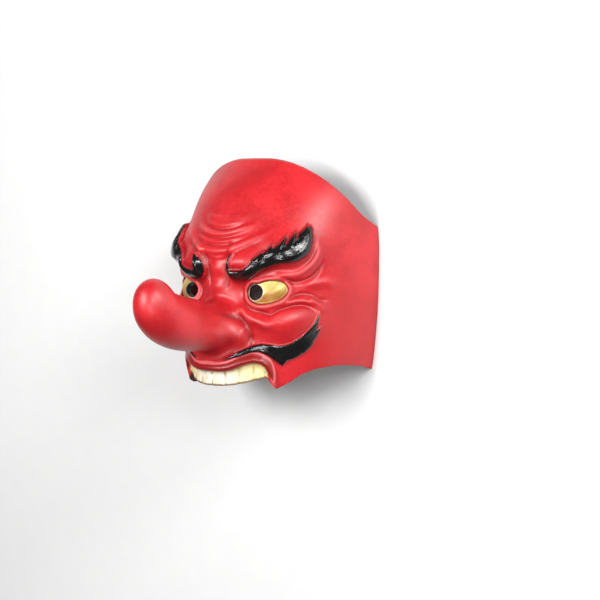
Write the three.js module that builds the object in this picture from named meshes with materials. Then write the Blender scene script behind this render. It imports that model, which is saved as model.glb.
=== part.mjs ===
import * as THREE from 'three';

// Long-nosed half mask, moulded in one piece from latex rubber, lying on its two ear-side edges.
// Millimetres. +X the wearer's left, +Y towards the forehead, +Z out of the face.

const HEIGHT = 174;             // jaw corner to the top of the forehead
const WIDTH = 166;              // across the two ear-side edges
const FACE_DEPTH = 95;          // ear-side edges to the front of the bare face
const NOSE_LENGTH = 90.6;       // root of the nose to its tip
const NOSE_WIDTH = 41.6;        // across the bulb
const WALL = 2.6;               // thickness of the rubber
const PUPIL_RADIUS = 5.6;         // hole to see through

// The carving is drawn on a flat pattern of the face, which is then wrapped round the head.
// s runs round the head from the middle line and y up the face, both in pattern units.
const PATTERN_HEIGHT = 174;
const PATTERN_RADIUS = 88;      // pattern length of one radian round the head
const SIDE = PATTERN_RADIUS * Math.PI / 2;
const UP = HEIGHT / PATTERN_HEIGHT;             // millimetres in a unit up the face
const ROUND = WIDTH / 2 / PATTERN_RADIUS;       // millimetres in a unit round the head

// bare face by height on it: share of the half width, and share of the depth
const HALF_WIDTH = [[-87, 0.88], [-74, 0.922], [-45, 0.971], [0, 1], [30, 0.994], [60, 0.928], [87, 0.783]];
const DEPTH = [
  [-87, 0.947], [-62, 1], [-35, 0.989], [-13, 0.956], [8, 0.958], [24, 0.947], [42, 0.874], [62, 0.747],
  [87, 0.516]];

// trimmed edges, s against y
const LOW_EDGE = [
  [0, -83.4], [12, -83.2], [20, -82.6], [30, -81.2], [38.5, -79.6], [46.5, -78.2], [49.5, -80.6],
  [54.6, -87], [59, -85], [66, -81.6], [74, -76.4], [84.5, -72.4], [97, -70.4], [108, -69.9],
  [125, -71.5], [134, -74], [SIDE, -75]];
const TOP_EDGE = [[0, 87], [30, 86], [60, 80], [85, 70], [105, 57], [122, 43], [SIDE, 34]];
const LOWER_BAND = -45;         // rows below this one draw in towards the lower edge
const UPPER_BAND = 20;          // rows above this one draw in towards the top edge

// The nose is a run of rings that grow out of an oval on the pattern. Its side profile goes from the
// root below (-1) over the tip (0) to the root above (1): y, and share of the nose length.
const NOSE_PROFILE = [
  [-1, -57, 0], [-0.84, -57.2, 0.155], [-0.72, -57.6, 0.276], [-0.62, -57.8, 0.397],
  [-0.54, -56.6, 0.519], [-0.46, -54, 0.651], [-0.38, -48.5, 0.789], [-0.3, -41, 0.9],
  [-0.2, -31, 0.978], [-0.1, -19.5, 1], [0, -8.8, 0.969], [0.1, -2.9, 0.89], [0.2, -1.9, 0.806],
  [0.3, -5.2, 0.728], [0.38, -10.6, 0.678], [0.46, -13.4, 0.607], [0.54, -15.4, 0.53],
  [0.62, -17.8, 0.408], [0.72, -21, 0.276], [0.84, -23.6, 0.149], [1, -25, 0]];
const NOSE_HALF_WIDTH = [
  [0, 0], [0.1, 0.394], [0.2, 0.644], [0.3, 0.827], [0.38, 0.933], [0.46, 0.99], [0.54, 1],
  [0.62, 0.952], [0.72, 0.904], [0.84, 1.01], [1, 1.202]];
const NOSE = { y: -41, reachS: 30, reachY: 27, rootDepth: 0.905, blend: 0.62 };

// brush strokes of hair that stand proud of the face: s, y and half width down the middle of each
const BROW = [
  [[18.6, 14.6, 0.3], [16.4, 11, 1.4], [15, 7, 2.4], [14.8, 2.4, 3], [17.6, -1, 3.8], [23.2, -1.5, 4.1],
    [29, -0.4, 4.1], [34.2, 2.8, 3.9], [38.7, 6.6, 4.5], [44, 10, 5.3], [51.2, 13.2, 6.2], [58, 14.2, 6.3],
    [63, 15.8, 6.8], [69, 19.8, 6.8], [72.8, 25.6, 5], [74.6, 32.5, 2]],
  [[37, 9, 3], [41.4, 16.4, 0.2]],
  [[44.5, 13.5, 3.2], [48.7, 21.4, 0.2]],
  [[52, 15.5, 4.4], [58.5, 27.6, 0.2]],
  [[61.5, 19, 3.8], [64.8, 31.2, 0.2]],
  [[71, 27, 4.5], [73, 35.6, 0.2]]];
const BROW_RISE = { height: 5.6, spread: 1.5, round: 6 };
const MOUSTACHE = [
  [[13.5, -64.2, 0.2], [26, -59.9, 1.8], [34.8, -56.7, 2.3], [42, -55.5, 3], [49.8, -57, 4.3],
    [57.5, -59.4, 5.8], [66.6, -57.8, 6.1], [74, -52.7, 5.9], [78.8, -45.8, 4.1], [81.9, -38.2, 1.9],
    [84.7, -29.2, 0.2]],
  [[56.5, -60, 5.4], [59.6, -68.8, 0.2]],
  [[78.6, -51, 3.4], [86.7, -39.3, 0.2]],
  [[75, -56, 3.6], [83, -51.6, 0.2]]];
const MOUSTACHE_RISE = { height: 1.6, out: 0.8, in: 1.6 };

// almond eye round the pupil, the rim of its lids, and the seat that its ball stands in
const PUPIL = { s: 35, y: -14.1, margin: 1.2 };
const EYE = { s: 44.7, y: -14, halfLength: 15.4, halfHeight: 8.7, tilt: THREE.MathUtils.degToRad(12) };
const LID = { height: 2, out: 2, width: 2.4 };
const EYE_SEAT = 1.2;
const EYE_BALL = { height: 2.4, reach: 8 };

// opening under the upper lip, the roll of the lip round it, and the teeth that stand back in it
const MOUTH = [
  [-6, -72.3], [6, -72.5], [12.8, -72.4], [19.8, -71.4], [26, -69.4], [31.2, -67.7], [36.8, -66.6],
  [42.2, -67.6], [45.8, -70.2], [48, -74.4], [48.8, -84], [44, -90], [-6, -90]];
const LIP = { height: 2.6, out: 3, width: 3.2, fade: 56, full: 52 };
const TEETH = { depth: 2.2, out: 0.8, in: -1.4 };
const TOOTH_GAP = { places: [0, 12.7, 24.6, 36.4, 46], depth: 0.7, width: 1.3 };

const MUZZLE = { height: 8, reach: 34, power: 2.6, top: -46, full: -66 };
// swellings and hollows of the face: middle s and y, reach s and y, height
const SWELLINGS = [
  [60, -35, 25, 13, 9],         // cheek
  [57, 14, 24, 15, 7],          // brow ridge
  [0, 4, 9, 8, 3.4],            // between the brows
  [0, 17, 16, 6, 1.6],          // foot of the forehead
  [0, -10, 8, 5, 2.8],          // root of the nose
  [0, -20, 9, 6, 2],            // bridge of the nose
  [23, -45, 9, 9.5, 9.5],       // nose wing
  [47, -13, 13, 10.5, 3.2],     // eyeball
  [24, -14, 8, 8, -2.4]];       // inner corner of the eye
// mound at the inner end of the brow ridge: steep towards the middle of the face, long towards the side
const MOUND = { start: 10.5, full: 18.5, tail: 26, end: 46, y: 8, reach: 10.5, height: 8.5 };
// folds of skin: places along each, width, and height, which is negative in a groove
const FOLDS = [
  [[[13, -28], [22, -31.5], [28.6, -36.5], [32.6, -42], [34, -49], [33, -55]], 3.2, -2.8],
  [[[42, -3], [50, -1], [58, -0.8], [67, 0.2], [74.5, 5], [79.5, 11], [82.5, 19], [82, 30]], 3, 2.4],
  [[[30, -22], [36, -25], [44, -25.6], [53, -23.2], [61, -21.2], [69, -20], [77, -21.4], [83, -25]], 3, 1.4],
  [[[33, -26], [41, -28.5], [48.5, -31], [54, -28.2], [60, -25.6], [67, -23.8], [74, -24]], 2.6, -1.6],
  [[[14, -26.5], [24, -27.6], [30.5, -31.6], [39.5, -35.5], [47, -38], [57, -37.5]], 3.6, 2.5]];
const FOLD_FADE = 0.25;         // share of a fold over which each end sinks in
// rolls of the forehead, arcs that turn up at their ends: middle y, reach s, bend, height, width
const ROLLS = [
  [38, 26, 0.008, 1.9, 3.6], [28.9, 36, 0.0085, 2, 3], [16.4, 52, 0.0078, 2.6, 3.4]];
const ROLL_FADE = 0.4;
const SOFTNESS = 1.3;           // rounding that soft rubber gives to the carving
const LINING_REACH = 3.4;       // how far round a place the inside stays clear of the carving

// slopes of a smooth curve at the rows of a table
function slopes(table, column) {
  const rise = [];
  for (let i = 0; i + 1 < table.length; i++) {
    rise.push((table[i + 1][column] - table[i][column]) / (table[i + 1][0] - table[i][0]));
  }
  const out = [rise[0]];
  for (let i = 1; i + 1 < table.length; i++) {
    const before = table[i][0] - table[i - 1][0];
    const after = table[i + 1][0] - table[i][0];
    out.push((rise[i - 1] * after + rise[i] * before) / (before + after));
  }
  out.push(rise[rise.length - 1]);
  return out;
}

// which two rows of a table a value lies between, and how far it is from the first to the second
function between(table, x) {
  const last = table.length - 1;
  const v = Math.min(Math.max(x, table[0][0]), table[last][0]);
  let i = 0;
  while (i < last - 1 && v > table[i + 1][0]) i++;
  const width = table[i + 1][0] - table[i][0];
  return [i, width, (v - table[i][0]) / width];
}

// smooth curve through the rows of a table
const slopesOf = new Map();
function along(table, x, column = 1) {
  if (!slopesOf.has(table)) slopesOf.set(table, []);
  const known = slopesOf.get(table);
  if (!known[column]) known[column] = slopes(table, column);
  const m = known[column];
  const [i, h, t] = between(table, x);
  return (2 * t ** 3 - 3 * t ** 2 + 1) * table[i][column] + (t ** 3 - 2 * t ** 2 + t) * h * m[i]
    + (3 * t ** 2 - 2 * t ** 3) * table[i + 1][column] + (t ** 3 - t ** 2) * h * m[i + 1];
}

// straight lines through the rows of a table
function straight(table, x) {
  const [i, , t] = between(table, x);
  return table[i][1] * (1 - t) + table[i + 1][1] * t;
}

function smooth(from, to, x) {
  const t = Math.min(Math.max((x - from) / (to - from), 0), 1);
  return t * t * (3 - 2 * t);
}

function bell(x) {
  return Math.exp(-(x ** 2));
}

// distance to a chain of points, and the share of the way along it
function nearest(s, y, points) {
  let best = Infinity;
  let share = 0;
  for (let i = 0; i + 1 < points.length; i++) {
    const [ax, ay] = points[i];
    const ux = points[i + 1][0] - ax;
    const uy = points[i + 1][1] - ay;
    const t = Math.min(Math.max(((s - ax) * ux + (y - ay) * uy) / (ux * ux + uy * uy), 0), 1);
    const d = Math.hypot(s - ax - t * ux, y - ay - t * uy);
    if (d < best) {
      best = d;
      share = (i + t) / (points.length - 1);
    }
  }
  return [best, share];
}

// a brush stroke as a smooth chain of points, each with its half width
function smoothStroke(stroke) {
  const knots = stroke.map((knot) => new THREE.Vector3(...knot));
  const curve = new THREE.CatmullRomCurve3(knots, false, 'centripetal');
  return curve.getPoints(3 * stroke.length).map((point) => point.toArray());
}

const BROW_STROKES = BROW.map(smoothStroke);
const MOUSTACHE_STROKES = MOUSTACHE.map(smoothStroke);

// distance in from the edge of a group of tapering strokes
function insideStrokes(s, y, strokes) {
  let best = -Infinity;
  for (const stroke of strokes) {
    const [d, share] = nearest(s, y, stroke);
    const at = share * (stroke.length - 1);
    const i = Math.min(Math.floor(at), stroke.length - 2);
    const halfWidth = stroke[i][2] + (at - i) * (stroke[i + 1][2] - stroke[i][2]);
    best = Math.max(best, halfWidth - d);
  }
  return best;
}

// distance to a closed outline, negative inside
function outline(s, y, points) {
  const [distance] = nearest(s, y, [...points, points[0]]);
  let inside = false;
  points.forEach(([x1, y1], i) => {
    const [x2, y2] = points[(i + 1) % points.length];
    if ((y1 > y) !== (y2 > y) && s < (x2 - x1) * (y - y1) / (y2 - y1) + x1) inside = !inside;
  });
  return inside ? -distance : distance;
}

// distance to the edge of the eye, an almond joined to the ring round the pupil, negative inside
function eyeDistance(a, y) {
  const u = (a - EYE.s) * Math.cos(EYE.tilt) + (y - EYE.y) * Math.sin(EYE.tilt);
  const v = (y - EYE.y) * Math.cos(EYE.tilt) - (a - EYE.s) * Math.sin(EYE.tilt);
  const e = Math.hypot(u / EYE.halfLength, v / EYE.halfHeight);
  const g = Math.hypot(u / EYE.halfLength ** 2, v / EYE.halfHeight ** 2) + 1e-9;
  const ring = Math.hypot((a - PUPIL.s) * ROUND, (y - PUPIL.y) * UP) - PUPIL_RADIUS - PUPIL.margin;
  return Math.min(e * (e - 1) / g, ring);
}

function fold(a, y, [points, width, height]) {
  const [d, share] = nearest(a, y, points);
  return height * smooth(0, FOLD_FADE, share) * smooth(0, FOLD_FADE, 1 - share) * bell(d / width);
}

// height of the carving above the bare face, in pattern units
function relief(s, y) {
  const a = Math.abs(s);
  const muzzle = Math.exp(-((a / MUZZLE.reach) ** MUZZLE.power)) * smooth(MUZZLE.top, MUZZLE.full, y);
  let d = MUZZLE.height * muzzle;
  for (const [middleS, middleY, reachS, reachY, height] of SWELLINGS) {
    d += height * bell((a - middleS) / reachS) * bell((y - middleY) / reachY);
  }
  const mound = smooth(MOUND.start, MOUND.full, a) * smooth(MOUND.end, MOUND.tail, a);
  d += MOUND.height * mound * bell((y - MOUND.y) / MOUND.reach);
  for (const one of FOLDS) d += fold(a, y, one);
  for (const [middle, reach, bend, height, width] of ROLLS) {
    d += height * bell((y - middle - bend * s * s) / width) * smooth(reach, reach * ROLL_FADE, a);
  }

  const brow = Math.max(insideStrokes(a, y, BROW_STROKES) + BROW_RISE.spread, 0);
  d += BROW_RISE.height * Math.sqrt(1 - (1 - Math.min(brow / BROW_RISE.round, 1)) ** 2);
  const moustache = insideStrokes(a, y, MOUSTACHE_STROKES);
  d += MOUSTACHE_RISE.height * smooth(-MOUSTACHE_RISE.out, MOUSTACHE_RISE.in, moustache);

  const eye = eyeDistance(a, y);
  if (eye < 0) d += EYE_BALL.height * Math.sqrt(Math.min(-eye / EYE_BALL.reach, 1)) - EYE_SEAT;
  else d += LID.height * bell((eye - LID.out) / LID.width);

  const mouth = outline(a, y, MOUTH);
  d += LIP.height * bell((mouth - LIP.out) / LIP.width) * smooth(LIP.fade, LIP.full, a);
  d -= TEETH.depth * smooth(TEETH.out, TEETH.in, mouth);
  if (mouth < 0) {
    for (const gap of TOOTH_GAP.places) d -= TOOTH_GAP.depth * bell((a - gap) / TOOTH_GAP.width);
  }
  return d;
}

// relief rounded over a little patch
function softRelief(s, y) {
  const e = SOFTNESS;
  return (relief(s - e, y - e) + relief(s + e, y - e) + relief(s - e, y + e) + relief(s + e, y + e)) / 4;
}

// point on the bare face, raised along its normal
function face(s, y, lift) {
  const angle = s / PATTERN_RADIUS;
  const halfWidth = (v) => along(HALF_WIDTH, v) * WIDTH / 2;
  const depth = (v) => along(DEPTH, v) * FACE_DEPTH;
  const a = halfWidth(y);
  const b = depth(y);
  const da = (halfWidth(y + 0.5) - halfWidth(y - 0.5)) / UP;
  const db = (depth(y + 0.5) - depth(y - 0.5)) / UP;
  const sin = Math.sin(angle);
  const cos = Math.cos(angle);
  const normal = new THREE.Vector3(b * sin, -(da * b * sin * sin + a * db * cos * cos), a * cos).normalize();
  return new THREE.Vector3(a * sin, y * UP, b * cos).addScaledVector(normal, lift * UP);
}

// point on the nose: share of the way from its tip to its root, and turn round it
function nosePoint(share, turn) {
  const profile = (at) => [
    along(NOSE_PROFILE, at, 1) * UP,
    NOSE.rootDepth * FACE_DEPTH + along(NOSE_PROFILE, at, 2) * NOSE_LENGTH];
  const [upperY, upperZ] = profile(share);
  const [lowerY, lowerZ] = profile(-share);
  const halfWidth = along(NOSE_HALF_WIDTH, share) * NOSE_WIDTH / 2;
  const k = Math.sin(turn) / 2;
  return new THREE.Vector3(
    halfWidth * Math.cos(turn),
    (upperY + lowerY) / 2 + k * (upperY - lowerY),
    (upperZ + lowerZ) / 2 + k * (upperZ - lowerZ));
}

// the face with the nose growing out of it
function shape(s, y, lift) {
  const p = face(s, y, lift);
  const u = s / NOSE.reachS;
  const v = (y - NOSE.y) / NOSE.reachY;
  const share = Math.hypot(u, v);
  if (share < 1) p.lerp(nosePoint(share, Math.atan2(v, u)), smooth(1, NOSE.blend, share));
  return p;
}

function bareNormal(s, y) {
  const e = 0.6;
  const round = shape(s + e, y, 0).sub(shape(s - e, y, 0));
  const up = shape(s, y + e, 0).sub(shape(s, y - e, 0));
  return round.cross(up).normalize();
}

function skin(s, y) {
  return shape(s, y, softRelief(s, y));
}

// the inside follows the outside softly, never nearer than the wall
function lining(s, y) {
  let lift = softRelief(s, y);
  for (let k = 0; k < 8; k++) {
    const turn = k * Math.PI / 4;
    lift = Math.min(lift, relief(s + LINING_REACH * Math.cos(turn), y + LINING_REACH * Math.sin(turn)));
  }
  return shape(s, y, lift).addScaledVector(bareNormal(s, y), -WALL);
}

// lines over stretches, each cut into an even number of steps
function spread(stretches) {
  const lines = [stretches[0][0]];
  for (const [from, to, steps] of stretches) {
    for (let i = 1; i <= steps; i++) lines.push(from + (to - from) * i / steps);
  }
  return lines;
}

// lines of the moulding, with a square block of four steps at each pupil
const PUPIL_REACH_S = PUPIL_RADIUS / ROUND;
const PUPIL_REACH_Y = PUPIL_RADIUS / UP;
const MOUTH_CORNER = 54.6;
const CHEEK_END = 84;
const BROW_TOP = 38;
const BLOCK = 4;
const STEPS_TO_PUPIL = 12;
const STEPS_OVER_LIP = 12;
const STEPS_OVER_CHEEK = 10;
const halfColumns = spread([
  [0, PUPIL.s - PUPIL_REACH_S, STEPS_TO_PUPIL], [PUPIL.s - PUPIL_REACH_S, PUPIL.s + PUPIL_REACH_S, BLOCK],
  [PUPIL.s + PUPIL_REACH_S, MOUTH_CORNER, 4], [MOUTH_CORNER, CHEEK_END, 8], [CHEEK_END, SIDE, 8]]);
const COLUMNS = [...halfColumns.slice(1).reverse().map((s) => -s), ...halfColumns];
const ROWS = spread([
  [-PATTERN_HEIGHT / 2, LOWER_BAND, STEPS_OVER_LIP],
  [LOWER_BAND, PUPIL.y - PUPIL_REACH_Y, STEPS_OVER_CHEEK],
  [PUPIL.y - PUPIL_REACH_Y, PUPIL.y + PUPIL_REACH_Y, BLOCK], [PUPIL.y + PUPIL_REACH_Y, BROW_TOP, 16],
  [BROW_TOP, PATTERN_HEIGHT / 2, 8]]);
const MIDDLE_COLUMN = halfColumns.length - 1;
const PUPIL_COLUMNS = [MIDDLE_COLUMN - STEPS_TO_PUPIL - BLOCK, MIDDLE_COLUMN + STEPS_TO_PUPIL];
const PUPIL_ROW = STEPS_OVER_LIP + STEPS_OVER_CHEEK;

// place on the pattern of a crossing of lines: the end rows follow the trimmed edges,
// and the lines round each pupil are bent into circles
function place(s, row) {
  const a = Math.abs(s);
  const end = PATTERN_HEIGHT / 2;
  let y = row;
  if (row > UPPER_BAND) {
    y = UPPER_BAND + (row - UPPER_BAND) * (along(TOP_EDGE, a) - UPPER_BAND) / (end - UPPER_BAND);
  }
  if (row < LOWER_BAND) {
    y = LOWER_BAND + (row - LOWER_BAND) * (straight(LOW_EDGE, a) - LOWER_BAND) / (-end - LOWER_BAND);
  }
  const u = (a - PUPIL.s) / PUPIL_REACH_S;
  const v = (y - PUPIL.y) / PUPIL_REACH_Y;
  const square = Math.max(Math.abs(u), Math.abs(v));
  const bend = smooth(2.2, 1, square);
  const k = square > 0 ? 1 + bend * (square / Math.hypot(u, v) - 1) : 1;
  return [Math.sign(s) * (PUPIL.s + u * k * PUPIL_REACH_S), PUPIL.y + v * k * PUPIL_REACH_Y];
}

function inPupil(i, j) {
  const inRow = j >= PUPIL_ROW && j < PUPIL_ROW + BLOCK;
  return inRow && PUPIL_COLUMNS.some((first) => i >= first && i < first + BLOCK);
}

// corners of a block of lines, once round
function ring(i0, i1, j0, j1) {
  const path = [];
  for (let i = i0; i < i1; i++) path.push([i, j0]);
  for (let j = j0; j < j1; j++) path.push([i1, j]);
  for (let i = i1; i > i0; i--) path.push([i, j1]);
  for (let j = j1; j > j0; j--) path.push([i0, j]);
  path.push([i0, j0]);
  return path;
}

// The rubber is an outer sheet on every line and an inner sheet on every second line,
// joined round the trimmed edge and round both pupils.
function buildMask() {
  const points = [];
  const index = [];
  const lastColumn = COLUMNS.length - 1;
  const lastRow = ROWS.length - 1;
  const outer = ROWS.map(() => []);
  const inner = ROWS.map(() => []);
  const addPoint = (sheet, i, j, point) => {
    if (i === 0 || i === lastColumn) point.z = 0;
    sheet[j][i] = points.length;
    points.push(point);
  };
  ROWS.forEach((row, j) => COLUMNS.forEach((column, i) => {
    const [s, y] = place(column, row);
    addPoint(outer, i, j, skin(s, y));
    if (i % 2 === 0 && j % 2 === 0) addPoint(inner, i, j, lining(s, y));
  }));

  // a four-sided patch is split along its shorter diagonal, and alike on both halves of the face
  const patch = (a, b, c, d, onRight) => {
    const gain = points[a].distanceTo(points[c]) - points[b].distanceTo(points[d]);
    if (gain < -1e-4 || (gain < 1e-4 && onRight)) index.push(a, b, c, a, c, d);
    else index.push(b, c, d, b, d, a);
  };
  const cover = (sheet, step, outward) => {
    for (let j = 0; j < lastRow; j += step) {
      for (let i = 0; i < lastColumn; i += step) {
        const corners = [sheet[j][i], sheet[j][i + step], sheet[j + step][i + step], sheet[j + step][i]];
        if (!outward) corners.reverse();
        if (!inPupil(i, j)) patch(...corners, i < lastColumn / 2);
      }
    }
  };
  cover(outer, 1, true);
  cover(inner, 2, false);

  const joinSheets = (path) => {
    for (let k = 0; k + 2 < path.length; k += 2) {
      const [o0, o1, o2] = path.slice(k, k + 3).map(([i, j]) => outer[j][i]);
      const [q0, , q2] = path.slice(k, k + 3).map(([i, j]) => inner[j][i]);
      index.push(o0, q0, o1, o1, q0, q2, o1, q2, o2);
    }
  };
  joinSheets(ring(0, lastColumn, 0, lastRow));
  for (const first of PUPIL_COLUMNS) {
    joinSheets(ring(first, first + BLOCK, PUPIL_ROW, PUPIL_ROW + BLOCK).reverse());
  }

  // the frame sits in the middle of the outline
  const box = new THREE.Box3().setFromPoints(points);
  const middle = (box.min.y + box.max.y) / 2;
  const geometry = new THREE.BufferGeometry();
  geometry.setFromPoints(points);
  geometry.translate(0, -middle, 0);
  geometry.setIndex(index);
  geometry.computeVertexNormals();
  return geometry;
}

const rubber = new THREE.MeshStandardMaterial({
  color: 0xc8141c, roughness: 0.45, metalness: 0, side: THREE.DoubleSide });
const mask = new THREE.Mesh(buildMask(), rubber);
mask.name = 'mask';
const group = new THREE.Group();
group.add(mask);

export default group;
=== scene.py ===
import math

import bmesh
import bpy
import numpy as np
from mathutils import Matrix, Vector


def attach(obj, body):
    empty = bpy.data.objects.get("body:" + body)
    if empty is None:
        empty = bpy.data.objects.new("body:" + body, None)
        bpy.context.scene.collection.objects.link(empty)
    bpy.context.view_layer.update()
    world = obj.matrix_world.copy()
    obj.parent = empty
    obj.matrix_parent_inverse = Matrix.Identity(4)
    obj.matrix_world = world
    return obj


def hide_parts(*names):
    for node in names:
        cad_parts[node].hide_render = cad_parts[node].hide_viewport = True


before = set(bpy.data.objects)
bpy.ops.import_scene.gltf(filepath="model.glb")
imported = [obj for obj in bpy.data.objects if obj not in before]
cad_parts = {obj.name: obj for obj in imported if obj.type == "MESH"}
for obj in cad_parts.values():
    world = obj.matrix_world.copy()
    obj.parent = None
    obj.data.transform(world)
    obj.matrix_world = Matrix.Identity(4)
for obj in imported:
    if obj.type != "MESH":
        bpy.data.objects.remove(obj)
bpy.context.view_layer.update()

# Camera. The mask lies on its side edges, so the lens looks down on it, turned to the mask's own left.
# The top of the picture is turned towards the forehead, which shows the face upright.
MM = 0.001
VIEW_TURN = math.radians(40.5)
VIEW_RISE = math.radians(2.5)
VIEW_DISTANCE = 1500 * MM
AIM_RIGHT = 2.86 * MM
AIM_UP = -24.8 * MM
SENSOR_WIDTH = 36
LENS = 113.4
NEAREST_SIGHT = 50 * MM
toward_lens = Vector((math.sin(VIEW_TURN) * math.cos(VIEW_RISE), math.sin(VIEW_RISE),
                      math.cos(VIEW_TURN) * math.cos(VIEW_RISE)))
picture_right = Vector((math.cos(VIEW_TURN), 0, -math.sin(VIEW_TURN)))
picture_up = toward_lens.cross(picture_right)
aim = AIM_RIGHT * picture_right + AIM_UP * picture_up
lens_place = toward_lens * VIEW_DISTANCE
lens_back = (lens_place - aim).normalized()
lens_right = picture_up.cross(lens_back).normalized()
camera_data = bpy.data.cameras.new("camera")
camera_data.sensor_width = SENSOR_WIDTH
camera_data.lens = LENS
camera_data.clip_start = NEAREST_SIGHT
camera = bpy.data.objects.new("camera", camera_data)
lens_turn = Matrix((lens_right, lens_back.cross(lens_right), lens_back)).transposed()
camera.matrix_world = Matrix.Translation(lens_place) @ lens_turn.to_4x4()
bpy.context.scene.collection.objects.link(camera)
bpy.context.scene.camera = camera


# The bare face. A latex half mask is a thin rubber casting taken from a carved face, from forehead to
# upper teeth and from side to side. Its carving is drawn on a flat pattern, s round the face and y up
# it, in millimetres at the middle of the face, and the pattern is wrapped round into the face's form.
HEIGHT = 174
WIDTH = 166
FACE_DEPTH = 95
PATTERN_RADIUS = 88
SIDE = PATTERN_RADIUS * math.pi / 2
ROUND = WIDTH / 2 / PATTERN_RADIUS
HALF_STEP = 0.5
# A row is a height y and the share of half the width, or of the depth, that the face has there.
HALF_WIDTH = [(-87, 0.88), (-74, 0.922), (-45, 0.971), (0, 1), (30, 0.994), (60, 0.928), (87, 0.783)]
DEPTH = [(-87, 0.947), (-62, 1), (-35, 0.989), (-13, 0.956), (8, 0.958), (24, 0.947), (42, 0.874),
         (62, 0.747), (87, 0.516)]


def along(table, x, column=1):
    """Smooth curve through the rows of a table."""
    points = np.array(table, float)
    xs, vs = points[:, 0], points[:, column]
    x = np.clip(np.asarray(x, float), xs[0], xs[-1])
    step = np.diff(xs)
    rise = np.diff(vs) / step
    slope = np.empty_like(vs)
    slope[1:-1] = (rise[:-1] * step[1:] + rise[1:] * step[:-1]) / (step[:-1] + step[1:])
    slope[0], slope[-1] = rise[0], rise[-1]
    i = np.clip(np.searchsorted(xs, x, side="right") - 1, 0, len(xs) - 2)
    h = step[i]
    t = (x - xs[i]) / h
    return ((2 * t**3 - 3 * t**2 + 1) * vs[i] + (t**3 - 2 * t**2 + t) * h * slope[i]
            + (3 * t**2 - 2 * t**3) * vs[i + 1] + (t**3 - t**2) * h * slope[i + 1])


def smooth(start, end, x):
    """Soft step from 0 at the start to 1 at the end."""
    t = np.clip((x - start) / (end - start), 0, 1)
    return t * t * (3 - 2 * t)


def bell(x):
    """Soft bump, 1 in the middle."""
    return np.exp(-x**2)


def face(s, y, lift):
    """Point on the bare face, raised along its normal."""
    angle = s / PATTERN_RADIUS
    a, b = along(HALF_WIDTH, y) * WIDTH / 2, along(DEPTH, y) * FACE_DEPTH
    da = (along(HALF_WIDTH, y + HALF_STEP) - along(HALF_WIDTH, y - HALF_STEP)) * WIDTH / 2
    db = (along(DEPTH, y + HALF_STEP) - along(DEPTH, y - HALF_STEP)) * FACE_DEPTH
    sin, cos = np.sin(angle), np.cos(angle)
    normal = np.stack([b * sin, -(da * b * sin**2 + a * db * cos**2), a * cos], -1)
    normal /= np.linalg.norm(normal, axis=-1, keepdims=True)
    return np.stack([a * sin, y, b * cos], -1) + normal * lift[..., None]


# The nose. It is cast hollow with the face, thick in the middle, with its tip bent up. A row of its side
# profile is the share of the way from the tip to the root, below zero on the underside, then the height
# y and the share of the length there. Each cross-section spans from the underside to the upper side.
NOSE_LENGTH = 90.2
NOSE_WIDTH = 41.6
NOSE_Y = -41
NOSE_REACH_S = 30
NOSE_REACH_Y = 27
NOSE_ROOT = 0.905 * FACE_DEPTH
NOSE_BLEND = 0.62
NOSE_PROFILE = [(-1, -57, 0), (-0.84, -57.2, 0.155), (-0.72, -57.6, 0.276), (-0.62, -57.8, 0.397),
                (-0.54, -56.6, 0.519), (-0.46, -54, 0.651), (-0.38, -48.5, 0.789), (-0.3, -41, 0.9),
                (-0.2, -31, 0.978), (-0.1, -19.5, 1), (0, -8.8, 0.969), (0.1, -2.9, 0.89),
                (0.2, -1.9, 0.806), (0.3, -5.2, 0.728), (0.38, -10.6, 0.678), (0.46, -13.4, 0.607),
                (0.54, -15.4, 0.53), (0.62, -17.8, 0.408), (0.72, -21, 0.276), (0.84, -23.6, 0.149),
                (1, -25, 0)]
NOSE_HALF_WIDTH = [(0, 0), (0.1, 0.394), (0.2, 0.644), (0.3, 0.827), (0.38, 0.933), (0.46, 0.99),
                   (0.54, 1), (0.62, 0.952), (0.72, 0.904), (0.84, 1.01), (1, 1.202)]


def nose(share, turn):
    """Point on the nose, by the share of the way from its tip to its root and the turn round it."""
    half = along(NOSE_HALF_WIDTH, share) * NOSE_WIDTH / 2
    upper_y, lower_y = along(NOSE_PROFILE, share), along(NOSE_PROFILE, -share)
    upper_z = NOSE_ROOT + along(NOSE_PROFILE, share, 2) * NOSE_LENGTH
    lower_z = NOSE_ROOT + along(NOSE_PROFILE, -share, 2) * NOSE_LENGTH
    k = np.sin(turn) / 2
    return np.stack([half * np.cos(turn), (upper_y + lower_y) / 2 + k * (upper_y - lower_y),
                     (upper_z + lower_z) / 2 + k * (upper_z - lower_z)], -1)


def nose_share(s, y):
    """How far out on the pattern a place is from the tip of the nose, 1 where the nose ends."""
    return np.hypot(s / NOSE_REACH_S, (y - NOSE_Y) / NOSE_REACH_Y)


def shape(s, y, lift):
    """The face with the nose growing out of it."""
    share = nose_share(s, y)
    turn = np.arctan2((y - NOSE_Y) / NOSE_REACH_Y, s / NOSE_REACH_S)
    w = smooth(1, NOSE_BLEND, share)[..., None]
    return face(s, y, lift) * (1 - w) + nose(np.clip(share, 0, 1), turn) * w


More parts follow.
